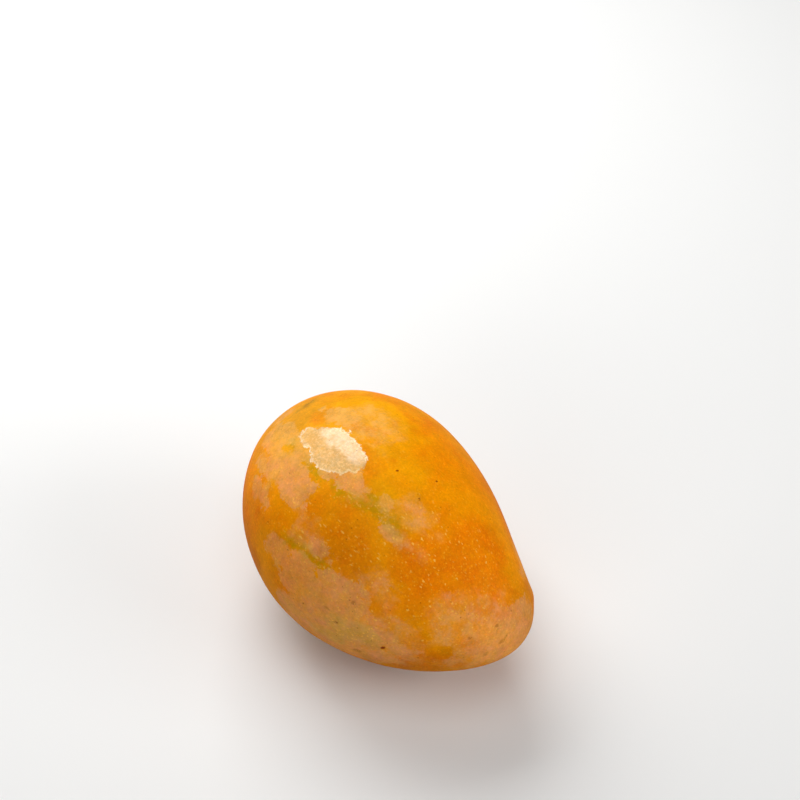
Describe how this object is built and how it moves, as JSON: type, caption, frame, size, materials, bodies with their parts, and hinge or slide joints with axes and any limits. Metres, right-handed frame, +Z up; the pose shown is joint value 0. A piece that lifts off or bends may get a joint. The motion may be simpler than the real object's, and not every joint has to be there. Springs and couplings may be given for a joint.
{
  "type": "mango",
  "caption": "Whole ripe mango lying on its side, one closed body with a small beak by the apex, a dimpled stem end and a small flat spot to rest on.",
  "frame": {"origin": "bottom centre of the bounding box, on the surface that the fruit lies on", "axes": "+X along the fruit towards the apex, +Y to the belly side that carries the beak, +Z up through the cheeks"},
  "size_m": [0.1092, 0.0788, 0.0682],
  "materials": {
    "mango_skin": "semi-gloss waxy fruit skin, saturated orange with pale peach bloom, green-tinged borders and fine pale dots"
  },
  "bodies": {
    "root": {"mango": "mango_skin"}
  },
  "joints": []
}
